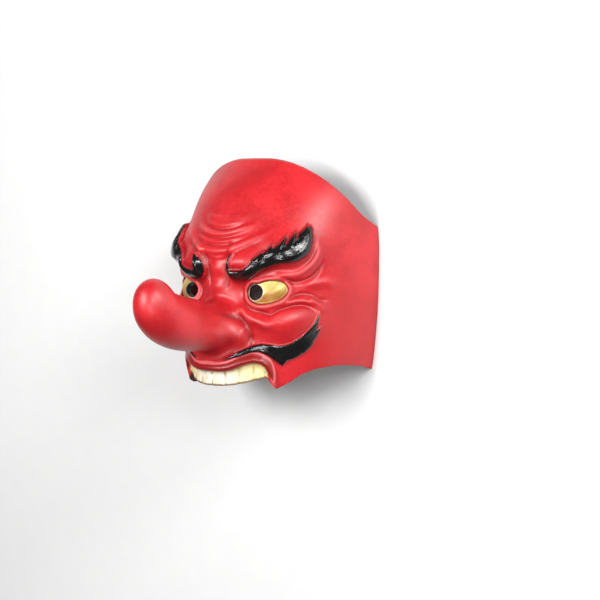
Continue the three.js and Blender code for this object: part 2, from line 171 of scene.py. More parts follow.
# Brows and moustache. They are thick tufts of carved hair, raised on the rubber and painted black.
# A tuft is a group of tapering brush strokes, each given by its middle line and half width.
BROW = [[(18.6, 14.6, 0.3), (16.4, 11, 1.4), (15, 7, 2.4), (14.8, 2.4, 3), (17.6, -1, 3.8),
         (23.2, -1.5, 4.1), (29, -0.4, 4.1), (34.2, 2.8, 3.9), (38.7, 6.6, 4.5), (44, 10, 5.3),
         (51.2, 13.2, 6.2), (58, 14.2, 6.3), (63, 15.8, 6.8), (69, 19.8, 6.8), (72.8, 25.6, 5),
         (74.6, 32.5, 2)],
        [(37, 9, 3), (39.6, 12.8, 1.5), (41.4, 16.4, 0.1)],
        [(44.5, 13.5, 3.2), (46.8, 17.4, 1.6), (48.7, 21.4, 0.1)],
        [(52, 15.5, 4.4), (55.3, 21, 2), (58.5, 27.6, 0.1)],
        [(61.5, 19, 3.8), (63.2, 25, 2.2), (64.8, 31.2, 0.1)],
        [(71, 27, 4.5), (72.8, 32, 2.3), (73, 35.6, 0.1)]]
MOUSTACHE = [[(13.5, -64.2, 0.1), (26, -59.9, 1.8), (34.8, -56.7, 2.3), (42, -55.5, 3),
              (49.8, -57, 4.3), (57.5, -59.4, 5.8), (66.6, -57.8, 6.1), (74, -52.7, 5.9),
              (78.8, -45.8, 4.1), (81.9, -38.2, 1.9), (84.7, -29.2, 0.1)],
             [(55.5, -60, 5.4), (58, -64.6, 3), (59.6, -68.8, 0.1)],
             [(60, -61, 5), (60.8, -64.8, 2.6), (59.6, -68.8, 0.1)],
             [(78.6, -51, 3.4), (82.9, -46, 2.1), (86.7, -39.3, 0.1)],
             [(75, -56, 3.6), (79.5, -54, 1.8), (83, -51.6, 0.1)]]
BROW_HEIGHT = 5.8
BROW_SHOULDER = 4.5
BROW_FOOT = 0.6
MOUSTACHE_HEIGHT = 1.5
MOUSTACHE_SHOULDER = 2.5
MOUSTACHE_FOOT = 0.4
MAIN_STROKE_STEPS = 60
LOCK_STEPS = 12
FAR = 1e9


def curve(knots, count):
    """Points along a smooth curve through the knots."""
    p = np.array(knots, float)
    q = np.vstack([2 * p[0] - p[1], p, 2 * p[-1] - p[-2]])
    u = np.linspace(0, len(p) - 1, count)
    i = np.minimum(u.astype(int), len(p) - 2)
    t = (u - i)[:, None]
    a, b, c, d = q[i], q[i + 1], q[i + 2], q[i + 3]
    return 0.5 * (2 * b + (c - a) * t + (2 * a - 5 * b + 4 * c - d) * t**2
                  + (3 * b - a - 3 * c + d) * t**3)


def nearest(s, y, knots, count):
    """Distance to a smooth line on the pattern, the share of the way along it, and which side of it."""
    line = curve(knots, count)
    best, share, side = np.full(s.shape, FAR), np.zeros(s.shape), np.ones(s.shape)
    for k in range(count - 1):
        a, step = line[k, :2], line[k + 1, :2] - line[k, :2]
        t = np.clip(((s - a[0]) * step[0] + (y - a[1]) * step[1]) / (step @ step), 0, 1)
        d = np.hypot(s - a[0] - t * step[0], y - a[1] - t * step[1])
        near = d < best
        best = np.where(near, d, best)
        share = np.where(near, (k + t) / (count - 1), share)
        side = np.where(near, np.sign(step[0] * (y - a[1]) - step[1] * (s - a[0])), side)
    return best, share, side


def tuft(s, y, strokes):
    """Distance to the edge of a tuft, negative inside, and the place along and across its main stroke."""
    edge = np.full(s.shape, FAR)
    for number, stroke in enumerate(strokes):
        distance, share, side = nearest(s, y, stroke, LOCK_STEPS if number else MAIN_STROKE_STEPS)
        half_width = np.interp(share, np.linspace(0, 1, len(stroke)), [knot[2] for knot in stroke])
        edge = np.minimum(edge, distance - half_width)
        if number == 0:
            strand = share, distance * side
    return edge, strand


def cushion(edge, foot, shoulder):
    """Rounded rise from 0 at a foot just outside a tuft's edge to 1 at its shoulder."""
    return np.sqrt(1 - (1 - np.clip((foot - edge) / shoulder, 0, 1)) ** 2)


# The eyes. Each is a raised almond in a rim of lid, painted gold, with a round hole at its inner end
# to see through.
EYE_S = 44.7
EYE_Y = -14
EYE_HALF_LENGTH = 15.4
EYE_HALF_HEIGHT = 8.7
EYE_TILT = math.radians(12)
PUPIL_S = 35
PUPIL_Y = -14.1
PUPIL_RADIUS = 5.6
PUPIL_MARGIN = 1.2
EYEBALL_HEIGHT = 2.8
EYEBALL_SHOULDER = 8
EYE_SINK = 1.4
LID_HEIGHT = 2.2
LID_WIDTH = 1.7
LID_OFFSET = 1.6
LID_EDGE = 0.6
TINY = 1e-9


def eye_edge(a, y):
    """Distance to the edge of the eye, an almond joined to the ring round its hole, negative inside."""
    u = (a - EYE_S) * math.cos(EYE_TILT) + (y - EYE_Y) * math.sin(EYE_TILT)
    v = (y - EYE_Y) * math.cos(EYE_TILT) - (a - EYE_S) * math.sin(EYE_TILT)
    e = np.hypot(u / EYE_HALF_LENGTH, v / EYE_HALF_HEIGHT)
    g = np.hypot(u / EYE_HALF_LENGTH**2, v / EYE_HALF_HEIGHT**2) + TINY
    almond = e * (e - 1) / g
    hole_ring = np.hypot((a - PUPIL_S) * ROUND, y - PUPIL_Y) - PUPIL_RADIUS - PUPIL_MARGIN
    h = np.clip(0.5 + 0.25 * (hole_ring - almond), 0, 1)
    return hole_ring * (1 - h) + almond * h - h * (1 - h)


def eye_height(eye):
    """Height of the eyeball, sunk a little into the face, and of the lid round it."""
    eyeball = EYEBALL_HEIGHT * np.sqrt(np.clip(-eye / EYEBALL_SHOULDER, 0, 1)) - EYE_SINK
    lid = LID_HEIGHT * bell((eye - LID_OFFSET) / LID_WIDTH) * smooth(-LID_EDGE, LID_EDGE, eye)
    return np.where(eye < 0, eyeball, 0) + lid


# The mouth. The upper lip rolls over a row of gold teeth that stands a little back from it
# and makes the lower edge of the mask.
MOUTH = [(-6, -72.3), (6, -72.5), (12.8, -72.4), (19.8, -71.4), (26, -69.4), (31.2, -67.7),
         (36.8, -66.6), (42.2, -67.6), (45.8, -70.2), (48, -74.4), (48.8, -84), (44, -92), (-6, -92)]
LIP_BAND = MOUTH[1:10] + [(52.6, -80), (52.8, -74), (51.8, -69), (49.8, -65), (45.3, -61.6),
                          (40, -59.6), (35, -59.6), (27, -61.7), (21, -64.6), (16, -66.3),
                          (7, -67.3), (-7, -67.4), (-6, -72.3)]
MOUTH_CORNER = 54.6
LIP_HEIGHT = 2.8
LIP_WIDTH = 2.8
LIP_FULL_S = 53
LIP_END_S = 56
LOW_EDGE = [(0, -83.4), (12, -83.2), (20, -82.6), (30, -81.2), (38.5, -79.6), (46.5, -78.2),
            (49.5, -80.6), (MOUTH_CORNER, -87), (59, -85), (66, -81.6), (74, -76.4), (84.5, -72.4),
            (97, -70.4), (108, -69.9), (125, -71.5), (134, -74), (SIDE, -75)]
TEETH_SETBACK = 2.4
TEETH_FLARE = 2.2
TEETH_LENGTH = 9
TEETH_START = 0.6
TEETH_FULL = -0.8
TOOTH_GAPS = [0, 12.7, 24.6, 36.4, 46]
TOOTH_GAP_WIDTH = 1.3
TOOTH_GAP_DEPTH = 0.7


def outline_edge(s, y, points):
    """Distance to a closed outline, negative inside."""
    best, inside = np.full(s.shape, FAR), np.zeros(s.shape, bool)
    for (ax, ay), (bx, by) in zip(points, points[1:] + points[:1]):
        ux, uy = bx - ax, by - ay
        t = np.clip(((s - ax) * ux + (y - ay) * uy) / (ux * ux + uy * uy), 0, 1)
        best = np.minimum(best, np.hypot(s - ax - t * ux, y - ay - t * uy))
        if ay != by:
            inside ^= ((ay > y) != (by > y)) & (s < ux * (y - ay) / uy + ax)
    return np.where(inside, -best, best)


def mouth_height(a, mouth, trim, gaps):
    """Height of the rolled lip, and depth of the teeth behind it with the gaps between them."""
    lip = LIP_HEIGHT * bell((mouth - LIP_WIDTH) / LIP_WIDTH) * smooth(LIP_END_S, LIP_FULL_S, a)
    setback = TEETH_SETBACK - TEETH_FLARE * smooth(TEETH_LENGTH, 0, trim)
    teeth = setback * smooth(TEETH_START, TEETH_FULL, mouth)
    return lip - teeth - np.where(mouth < 0, TOOTH_GAP_DEPTH * gaps, 0)


# The skin. Swellings of muzzle, cheeks and brow ridge carry rolls on the forehead, pouches and lids
# round the eyes, crow's feet, and the furrow from the nose wing round the cheek. All of it is carved
# in the model that the rubber is cast from.
MUZZLE_HEIGHT = 8
MUZZLE_HALF_WIDTH = 34
MUZZLE_FLATNESS = 2.6
MUZZLE_TOP = -46
MUZZLE_FULL = -66
# A swelling is the s and y of its middle, its reach both ways and its height.
SWELLINGS = [(60, -35, 25, 13, 9), (57, 14, 24, 15, 7), (0, 4, 9, 8, 3.4), (0, 17, 16, 6, 1.6),
             (0, -10, 8, 5, 2.8), (0, -20, 9, 6, 2), (23, -45, 9, 9.5, 9.5), (47, -13, 13, 10.5, 3.2),
             (24, -14, 8, 8, -2.4)]
MOUND_START = 10.5
MOUND_FULL = 18.5
MOUND_TAIL = 26
MOUND_END = 46
MOUND_Y = 8
MOUND_REACH = 10.5
MOUND_HEIGHT = 8.5
# A roll is its height up the face, its reach, how it bends, how far it stands out and how thick it is.
FOREHEAD_ROLLS = [(40.3, 26, 0.006, 1.6, 2.0), (35.6, 24, 0.009, 1.9, 2.0),
                  (28.9, 36, 0.0085, 2.5, 2.4), (23.3, 30, 0.007, 2.0, 1.9),
                  (16.4, 52, 0.0078, 2.6, 3.1), (11.4, 12, 0.02, 1.0, 1.4)]
# A fold is the line it follows, its width and its height, which is below zero for a groove.
FOLDS = [([(13, -28), (22, -31.5), (28.6, -36.5), (32.6, -42), (34, -49), (33, -55)], 3, -2.8),
         ([(33, -3), (39, 3), (50, 5.6), (61, 7.2), (69, 10.4), (75, 15), (78.5, 22), (78, 32)],
          1.7, 0.9),
         ([(42, -3), (50, -1), (58, -0.8), (67, 0.2), (74.5, 5), (79.5, 11), (82.5, 19), (82, 30)],
          2.6, 2.6),
         ([(44, -5.6), (57, -5), (65, -6.2), (73, -4.6), (79.5, -1), (84, 5), (87, 14)], 1.9, -1.9),
         ([(30, -22), (36, -25), (44, -25.6), (53, -23.2), (61, -21.2), (69, -20), (77, -21.4),
           (83, -25)], 2.2, 1.7),
         ([(33, -25), (41, -28.5), (48.5, -31), (54, -28.2), (60, -25.6), (67, -23.8), (74, -24),
           (80, -27), (85, -31.5)], 2.1, -2.1),
         ([(14, -26.5), (24, -27.6), (30.5, -31.6), (39.5, -35.5), (47, -38), (57, -37.5)], 3.4, 2.6),
         ([(61, -19), (66.5, -16), (73.5, -15), (80.5, -17.5), (85.5, -20.2), (93, -19)], 1.5, -1.2),
         ([(74, -18), (80, -20.5), (86, -25), (90, -31)], 3, 1.3),
         ([(14.5, 5.5), (15.4, 10), (17.6, 14), (21.5, 17), (27.5, 19.6), (34, 23), (40, 28)],
          2.4, -1.3),
         ([(8, -14), (9, -6), (9.5, 1), (8.5, 8)], 1.7, -1.3),
         ([(70, -8), (80, -8), (90, -7), (100, -10)], 3.2, 1.2)]
FOLD_STEPS = 24
FOLD_FADE = 0.25
ROLL_FADE = 0.4


def skin_height(s, y):
    """Height of the carved skin above the bare face."""
    a = np.abs(s)
    muzzle = np.exp(-(a / MUZZLE_HALF_WIDTH) ** MUZZLE_FLATNESS)
    d = MUZZLE_HEIGHT * muzzle * smooth(MUZZLE_TOP, MUZZLE_FULL, y)
    for middle_s, middle_y, reach_s, reach_y, height in SWELLINGS:
        d += height * bell((a - middle_s) / reach_s) * bell((y - middle_y) / reach_y)
    d += (MOUND_HEIGHT * smooth(MOUND_START, MOUND_FULL, a) * smooth(MOUND_END, MOUND_TAIL, a)
          * bell((y - MOUND_Y) / MOUND_REACH))
    for knots, width, height in FOLDS:
        distance, share, _ = nearest(a, y, knots, FOLD_STEPS)
        ends = smooth(0, FOLD_FADE, share) * smooth(0, FOLD_FADE, 1 - share)
        d += height * ends * bell(distance / width)
    for middle, reach, bend, height, thick in FOREHEAD_ROLLS:
        d += height * bell((y - middle - bend * s**2) / thick) * smooth(reach, reach * ROLL_FADE, a)
    return d


def relief(s, y):
    """Height of all the carving above the bare face, and the distances that the paint follows."""
    a = np.abs(s)
    brow, brow_strand = tuft(a, y, BROW)
    moustache, moustache_strand = tuft(a, y, MOUSTACHE)
    eye = eye_edge(a, y)
    mouth = outline_edge(a, y, MOUTH)
    trim = y - np.interp(a, *zip(*LOW_EDGE))
    gaps = sum(bell((a - gap) / TOOTH_GAP_WIDTH) for gap in TOOTH_GAPS)
    d = skin_height(s, y)
    d += BROW_HEIGHT * cushion(brow, BROW_FOOT, BROW_SHOULDER)
    d += MOUSTACHE_HEIGHT * cushion(moustache, MOUSTACHE_FOOT, MOUSTACHE_SHOULDER)
    d += eye_height(eye) + mouth_height(a, mouth, trim, gaps)
    strand = np.where(brow < moustache, brow_strand, moustache_strand)
    return d, {"brow": brow, "moustache": moustache, "eye": eye, "mouth": mouth,
               "lip": outline_edge(a, y, LIP_BAND), "gaps": gaps, "trim": trim,
               "pupil": np.hypot((a - PUPIL_S) * ROUND, y - PUPIL_Y) - PUPIL_RADIUS,
               "hair_along": strand[0], "hair_across": strand[1]}


# The casting. One sheet of lines lies over the pattern, closer where the carving is fine, and is bent to
# the trimmed edges and round the eye holes. A second, coarser sheet is the inside of the rubber, and
# strips of faces join the two all round.
WALL = 2.6
TOP_EDGE = [(0, 87), (30, 86), (60, 80), (85, 70), (105, 57), (122, 43), (SIDE, 34)]
LOWER_BAND = -45
UPPER_BAND = 20
BROW_TOP = 38
CHEEK_END = 90
PUPIL_REACH_S = PUPIL_RADIUS / ROUND
PUPIL_STEPS = 16
PUPIL_BLEND = 2.2
EYE_RIM_REACH = 12
LINE_SLACK = 0.01
PROUD_REACH = 3
LINING_REACH = 3.4
NORMAL_STEP = 0.6
PAINT = ["brow", "moustache", "eye", "mouth", "lip", "gaps", "trim", "pupil", "hair_along",
         "hair_across", "proud"]
UNPAINTED = 10.0
PAINTED_FINISH = 0
BARE_FINISH = 1


def spread(stretches):
    """Lines over stretches given as start, end and number of steps."""
    lines = [stretches[0][0]]
    for start, end, steps in stretches:
        lines += [start + (end - start) * i / steps for i in range(1, steps + 1)]
    return lines


half_columns = spread([(0, PUPIL_S - PUPIL_REACH_S, 44),
                       (PUPIL_S - PUPIL_REACH_S, PUPIL_S + PUPIL_REACH_S, PUPIL_STEPS),
                       (PUPIL_S + PUPIL_REACH_S, MOUTH_CORNER, 18),
                       (MOUTH_CORNER, CHEEK_END, 46),
                       (CHEEK_END, SIDE, 24)])
columns = [-column for column in reversed(half_columns[1:])] + half_columns
rows = spread([(-HEIGHT / 2, LOWER_BAND, 56),
               (LOWER_BAND, PUPIL_Y - PUPIL_RADIUS, 42),
               (PUPIL_Y - PUPIL_RADIUS, PUPIL_Y + PUPIL_RADIUS, PUPIL_STEPS),
               (PUPIL_Y + PUPIL_RADIUS, BROW_TOP, 62),
               (BROW_TOP, HEIGHT / 2, 30)])


def crossing(s, row):
    """Where two lines cross on the pattern, bent to the trimmed edges and round the eye holes."""
    a = np.abs(s)
    low = np.interp(a, *zip(*LOW_EDGE))
    up = (row - UPPER_BAND) * (along(TOP_EDGE, a) - UPPER_BAND) / (HEIGHT / 2 - UPPER_BAND)
    down = (row - LOWER_BAND) * (low - LOWER_BAND) / (-HEIGHT / 2 - LOWER_BAND)
    y = np.where(row > UPPER_BAND, UPPER_BAND + up, np.where(row < LOWER_BAND, LOWER_BAND + down, row))
    u = (a - PUPIL_S) / PUPIL_REACH_S
    v = (y - PUPIL_Y) / PUPIL_RADIUS
    square = np.maximum(np.abs(u), np.abs(v))
    k = 1 + smooth(PUPIL_BLEND, 1, square) * (square / np.maximum(np.hypot(u, v), TINY) - 1)
    return np.where(s < 0, -1, 1) * (PUPIL_S + u * k * PUPIL_REACH_S), PUPIL_Y + v * k * PUPIL_RADIUS


def ring(s, y, reach, count):
    """Heights of the carving at places all round a place."""
    turns = [2 * math.pi * k / count for k in range(count)]
    return [relief(s + reach * math.cos(turn), y + reach * math.sin(turn))[0] for turn in turns]


def skin(s, y):
    """The outside, with a mark of how much each place stands proud of the carving round it."""
    lift, paint = relief(s, y)
    around = ring(s, y, PROUD_REACH, 4)
    paint["proud"] = lift - sum(around) / len(around)
    return shape(s, y, lift), paint


def lining(s, y):
    """The inside, which follows the outside softly, never nearer than the wall."""
    lift, marks = relief(s, y)
    lift = np.minimum.reduce([lift] + ring(s, y, LINING_REACH, 8))
    bare = np.zeros(s.shape)
    sideways = shape(s + NORMAL_STEP, y, bare) - shape(s - NORMAL_STEP, y, bare)
    upwards = shape(s, y + NORMAL_STEP, bare) - shape(s, y - NORMAL_STEP, bare)
    normal = np.cross(sideways, upwards)
    normal /= np.linalg.norm(normal, axis=-1, keepdims=True)
    paint = {name: np.full(s.shape, UNPAINTED) for name in PAINT}
    paint["proud"] = np.zeros(s.shape)
    paint["gaps"] = np.zeros(s.shape)
    paint["pupil"] = marks["pupil"]
    return shape(s, y, lift) - normal * WALL, paint


def sheet(bm, column_lines, row_lines, surface):
    """Adds one sheet with its eye holes and returns its faces."""
    made = bmesh.ops.create_grid(bm, x_segments=len(column_lines) - 1,
                                 y_segments=len(row_lines) - 1, size=1)
    verts = np.array(made["verts"], object)
    key = np.array([(round(vert.co.y, 5), round(vert.co.x, 5)) for vert in verts])
    grid = verts[np.lexsort((key[:, 1], key[:, 0]))].reshape(len(row_lines), len(column_lines))
    points, paint = surface(*crossing(*np.meshgrid(column_lines, row_lines)))
    points[:, (0, -1), 2] = 0
    for vert, point in zip(grid.ravel(), points.reshape(-1, 3)):
        vert.co = point * MM
    for name, values in paint.items():
        layer = bm.verts.layers.float[name]
        for vert, value in zip(grid.ravel(), values.ravel()):
            vert[layer] = value
    in_rows = [j for j, row in enumerate(row_lines) if abs(row - PUPIL_Y) < PUPIL_RADIUS - LINE_SLACK]
    in_columns = [i for i, column in enumerate(column_lines)
                  if abs(abs(column) - PUPIL_S) < PUPIL_REACH_S - LINE_SLACK]
    inner = [grid[j, i] for j in in_rows for i in in_columns]
    bmesh.ops.delete(bm, geom=inner, context="VERTS")
    return [one for vert in grid.ravel() if vert.is_valid for one in vert.link_faces]


def rim(edge):
    """Which rim of the rubber an open edge is on: the outline, or the hole of one eye."""
    middle = (edge.verts[0].co + edge.verts[1].co) / 2 / MM
    if math.hypot(abs(middle.x) - PUPIL_S * ROUND, middle.y - PUPIL_Y) > EYE_RIM_REACH:
        return "outline"
    return "left eye" if middle.x > 0 else "right eye"


bm = bmesh.new()
for name in PAINT:
    bm.verts.layers.float.new(name)
outside = set(sheet(bm, columns, rows, skin))
inside = set(sheet(bm, columns[::2], rows[::2], lining))
bmesh.ops.reverse_faces(bm, faces=list(inside))
open_edges = [edge for edge in bm.edges if edge.is_boundary]
# The walls of the eye holes take the outside paint, which blackens them as painted shade.
for which, finish in (("outline", BARE_FINISH), ("left eye", PAINTED_FINISH),
                      ("right eye", PAINTED_FINISH)):
    strip = bmesh.ops.bridge_loops(bm, edges=[edge for edge in open_edges if rim(edge) == which])
    for one in strip["faces"]:
        one.material_index = finish
for one in outside | inside:
    one.smooth = True
    one.material_index = BARE_FINISH if one in inside else PAINTED_FINISH
lowest = min(vert.co.y for vert in bm.verts)
highest = max(vert.co.y for vert in bm.verts)
bmesh.ops.translate(bm, vec=(0, -(lowest + highest) / 2, 0), verts=bm.verts)
mesh = bpy.data.meshes.new("moulded_mask")
bm.to_mesh(mesh)
bm.free()
mask = bpy.data.objects.new("moulded_mask", mesh)
bpy.context.scene.collection.objects.link(mask)
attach(mask, "root")
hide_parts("mask")


# The finish. The rubber is pigmented dark red all through and left bare inside, where it is darker still
# as painted shade. Outside it is painted by hand in satin red, gloss black hair, gold eyes and teeth and
# a crimson lip. Over the red lie a dark wash with painted shade in the grooves, painted shade on the jaw,
# under the nose and in the eye holes, and painted highlights on the ridges. A fade is the pair of places,
# heights or distances between which a paint comes in.
def rgb(red, green, blue):
    """Colour as a material takes it."""
    return red, green, blue, 1.0


RED = rgb(0.59, 0.015, 0.022)
RED_MOTTLE = rgb(0.45, 0.007, 0.012)
RED_ROUGHNESS = 0.4
RED_DEPTH = 0.12
# Dark red in the grooves: partly a dark wash, partly painted shade.
GROOVE_WASH_AND_SHADE_RED = rgb(0.26, 0.004, 0.008)
GROOVE_WASH_AND_SHADE_FADE = (-0.05, -1.2)
# Painted highlight: pink on the ridges that stand proud.
RIDGE_HIGHLIGHT_PINK = rgb(0.80, 0.13, 0.13)
RIDGE_HIGHLIGHT_FADE = (0.2, 1.5)
# Painted shade: deeper red towards the jaw and the side of the cheek.
JAW_SHADE_RED = rgb(0.44, 0.006, 0.009)
JAW_SHADE_FADE_X = (48 * MM, 68 * MM)
JAW_SHADE_FADE_Y = (2 * MM, -28 * MM)
# Painted shade: dark red on the underside of the nose.
UNDER_NOSE_SHADE_RED = rgb(0.26, 0.004, 0.006)
UNDER_NOSE_SHADE_Y = (-49 * MM, -26 * MM)
UNDER_NOSE_SHADE_FADE = (4 * MM, -9 * MM)
LIP_CRIMSON = rgb(0.27, 0.006, 0.005)
LIP_ROUGHNESS = 0.34
LIP_LINE_PINK = rgb(0.85, 0.20, 0.22)
LIP_LINE_PLACE = 0.7
LIP_LINE_FADE = (1.0, 0.3)
LIP_LINE_START = (2.5, 4.5)
EYE_LINE_BROWN = rgb(0.10, 0.010, 0.008)
EYE_LINE_FADE = (0.8, 0.25)
EYE_GOLD = rgb(0.62, 0.46, 0.12)
EYE_PALE_GOLD = rgb(0.74, 0.61, 0.21)
EYE_LOW_GOLD = rgb(0.36, 0.15, 0.022)
EYE_LOW_FADE = (-19 * MM, -6 * MM)
EYE_GOLD_FADE = (-0.2, -0.7)
GOLD_ROUGHNESS = 0.38
GOLD_METALLIC = 0.2
PUPIL_RING = rgb(0.62, 0.48, 0.34)
PUPIL_RING_FADE = (1.5, 0.9)
# Painted shade: black round the edge and on the walls of each eye hole.
PUPIL_SHADE_BLACK = rgb(0.004, 0.003, 0.003)
PUPIL_SHADE_FADE = (0.7, 0.3)
TOOTH_IVORY = rgb(0.90, 0.80, 0.68)
TOOTH_GOLD = rgb(0.84, 0.68, 0.30)
TOOTH_GOLD_FADE = (4 * MM, 34 * MM)
TOOTH_SMUDGE = rgb(0.70, 0.56, 0.30)
TOOTH_STAIN = rgb(0.36, 0.29, 0.16)
TOOTH_GAP_BROWN = rgb(0.34, 0.24, 0.11)
TOOTH_GAP_FADE = (0.25, 1.0)
# Painted shade: dark brown along the top of the teeth, under the lip.
UNDER_LIP_SHADE_BROWN = rgb(0.22, 0.07, 0.03)
UNDER_LIP_SHADE_FADE = (-1.3, 0.2)
TOOTH_FOOT_BROWN = rgb(0.17, 0.09, 0.04)
TOOTH_FOOT_FADE = (2.0, 0.8)
HAIR_BLACK = rgb(0.002, 0.002, 0.002)
HAIR_GREY = rgb(0.010, 0.009, 0.009)
HAIR_ROUGHNESS = (0.07, 0.2)
STRANDS_ALONG = 7
STRANDS_ACROSS = 0.5
STRAND_DEPTH = 0.5
BRUSH_SCALE = 600
BRUSH_SOFTNESS = 0.35
PAINT_SPECULAR = 0.6
# Inside: the rubber's own dark red, darkened further as painted shade.
INSIDE_RED_AND_SHADE = rgb(0.11, 0.007, 0.008)
INSIDE_MOTTLE_AND_SHADE = rgb(0.07, 0.004, 0.005)
INSIDE_ROUGHNESS = 0.62


class Nodes:
    """Short way to add shader nodes and join them."""

    def __init__(self, tree):
        self.tree = tree

    def add(self, kind, **values):
        node = self.tree.nodes.new("ShaderNode" + kind)
        for name, value in values.items():
            setattr(node, name, value)
        return node

    def join(self, source, target):
        self.tree.links.new(source, target)

    def put(self, socket, value):
        """Joins a socket to another one, or sets it to a number or colour."""
        if isinstance(value, bpy.types.NodeSocket):
            self.join(value, socket)
        else:
            socket.default_value = value

    def math(self, operation, a, b=0.0):
        node = self.add("Math", operation=operation)
        self.put(node.inputs[0], a)
        self.put(node.inputs[1], b)
        return node.outputs[0]

    def ramp(self, value, start, end, low=0.0, high=1.0):
        """Value carried smoothly from start..end to low..high."""
        node = self.add("MapRange", interpolation_type="SMOOTHSTEP")
        for socket, number in zip(node.inputs, (value, start, end, low, high)):
            self.put(socket, number)
        return node.outputs[0]

    def mix(self, share, a, b):
        """Mix of two colours, at the sockets that this node keeps for colours."""
        node = self.add("Mix", data_type="RGBA")
        self.put(node.inputs[0], share)
        self.put(node.inputs[6], a)
        self.put(node.inputs[7], b)
        return node.outputs[2]

    def blend(self, share, a, b):
        """Mix of two numbers, at the sockets that this node keeps for numbers."""
        node = self.add("Mix", data_type="FLOAT")
        self.put(node.inputs[0], share)
        self.put(node.inputs[2], a)
        self.put(node.inputs[3], b)
        return node.outputs[0]

    def attribute(self, name):
        return self.add("Attribute", attribute_name=name).outputs["Fac"]

    def noise(self, spot, scale, detail=4.0, roughness=0.55):
        node = self.add("TexNoise")
        self.put(node.inputs["Vector"], spot)
        node.inputs["Scale"].default_value = scale
        node.inputs["Detail"].default_value = detail
        node.inputs["Roughness"].default_value = roughness
        return node.outputs["Fac"]

    def blots(self, spot, scale, start, end, low=0.0, high=1.0, detail=3.0, roughness=0.55):
        """Soft blots of noise, from low between them to high inside them."""
        return self.ramp(self.noise(spot, scale, detail, roughness), start, end, low, high)


def latex_group():
    """Mottled, finely pitted rubber: a colour, a roughness and a height."""
    tree = bpy.data.node_groups.new("latex", "ShaderNodeTree")
    for name, kind, way in (("Light", "Color", "INPUT"), ("Dark", "Color", "INPUT"),
                            ("Roughness", "Float", "INPUT"), ("Color", "Color", "OUTPUT"),
                            ("Roughness", "Float", "OUTPUT"), ("Height", "Float", "OUTPUT")):
        tree.interface.new_socket(name, in_out=way, socket_type="NodeSocket" + kind)
    n = Nodes(tree)
    given = tree.nodes.new("NodeGroupInput").outputs
    result = tree.nodes.new("NodeGroupOutput").inputs
    spot = n.add("TexCoord").outputs["Object"]
    clouds = n.noise(spot, scale=38, detail=3)
    speckle = n.noise(spot, scale=420, detail=4, roughness=0.65)
    pits = n.noise(spot, scale=1500, detail=2, roughness=0.5)
    patches = n.math("ADD", n.math("MULTIPLY", clouds, 0.7), n.math("MULTIPLY", speckle, 0.3))
    n.join(n.mix(n.ramp(patches, 0.38, 0.62), given["Dark"], given["Light"]), result["Color"])
    sheen = n.math("MULTIPLY", n.math("SUBTRACT", speckle, 0.5), 0.22)
    n.join(n.math("ADD", given["Roughness"], sheen), result["Roughness"])
    depth = n.math("ADD", n.math("MULTIPLY", speckle, 0.6), n.math("MULTIPLY", pits, 0.4))
    n.join(depth, result["Height"])
    return tree


latex = latex_group()


def new_material(name):
    """Material with its nodes and its surface shader."""
    material = bpy.data.materials.new(name)
    material.use_nodes = True
    material.node_tree.nodes.clear()
    n = Nodes(material.node_tree)
    shader = n.add("BsdfPrincipled")
    n.join(shader.outputs[0], n.add("OutputMaterial").inputs[0])
    return material, n, shader


def place_latex(n, light, dark, roughness):
    """The rubber of one material, in its own colours and roughness."""
    group = n.add("Group", node_tree=latex)
    group.inputs["Light"].default_value = light
    group.inputs["Dark"].default_value = dark
    group.inputs["Roughness"].default_value = roughness
    return group.outputs


def emboss(n, shader, height, distance, strength):
    """Fine relief on a surface."""
    bump = n.add("Bump")
    bump.inputs["Distance"].default_value = distance
    bump.inputs["Strength"].default_value = strength
    n.join(height, bump.inputs["Height"])
    n.join(bump.outputs[0], shader.inputs["Normal"])


def painted(n, name, wobble):
    """1 inside a painted area, with an edge as uneven as a brush leaves it."""
    return n.ramp(n.math("ADD", n.attribute(name), wobble), BRUSH_SOFTNESS, -BRUSH_SOFTNESS)


def red_paint(n, colour, axes, beside):
    """Red skin with a dark wash and painted shade in grooves, painted shade on the jaw and under the
    nose, and painted highlights on ridges.
    """
    proud = n.attribute("proud")
    # Grooves: dark wash and painted shade.
    colour = n.mix(n.ramp(proud, *GROOVE_WASH_AND_SHADE_FADE, high=0.75), colour, GROOVE_WASH_AND_SHADE_RED)
    # Ridges: painted highlight.
    colour = n.mix(n.ramp(proud, *RIDGE_HIGHLIGHT_FADE, high=0.6), colour, RIDGE_HIGHLIGHT_PINK)
    # Jaw and side of the cheek: painted shade.
    jaw_shade = n.math("MULTIPLY", n.ramp(beside, *JAW_SHADE_FADE_X), n.ramp(axes["Y"], *JAW_SHADE_FADE_Y, high=0.6))
    colour = n.mix(jaw_shade, colour, JAW_SHADE_RED)
    # Underside of the nose: painted shade.
    low_line = n.ramp(axes["Z"], (NOSE_ROOT + 0.5 * NOSE_LENGTH) * MM, (NOSE_ROOT + NOSE_LENGTH) * MM,
                      *UNDER_NOSE_SHADE_Y)
    under_nose_shade = n.ramp(n.math("SUBTRACT", axes["Y"], low_line), *UNDER_NOSE_SHADE_FADE, high=0.35)
    off_face = n.ramp(axes["Z"], NOSE_ROOT * MM, (NOSE_ROOT + 0.2 * NOSE_LENGTH) * MM)
    return n.mix(n.math("MULTIPLY", under_nose_shade, off_face), colour, UNDER_NOSE_SHADE_RED)


def lip_paint(n, colour, lip):
    """Crimson lip with a pink line along its upper edge."""
    colour = n.mix(lip, colour, LIP_CRIMSON)
    off_line = n.math("ABSOLUTE", n.math("SUBTRACT", n.attribute("lip"), LIP_LINE_PLACE))
    above_teeth = n.ramp(n.attribute("mouth"), *LIP_LINE_START)
    line = n.math("MULTIPLY", n.ramp(off_line, *LIP_LINE_FADE, high=0.6), above_teeth)
    return n.mix(line, colour, LIP_LINE_PINK)


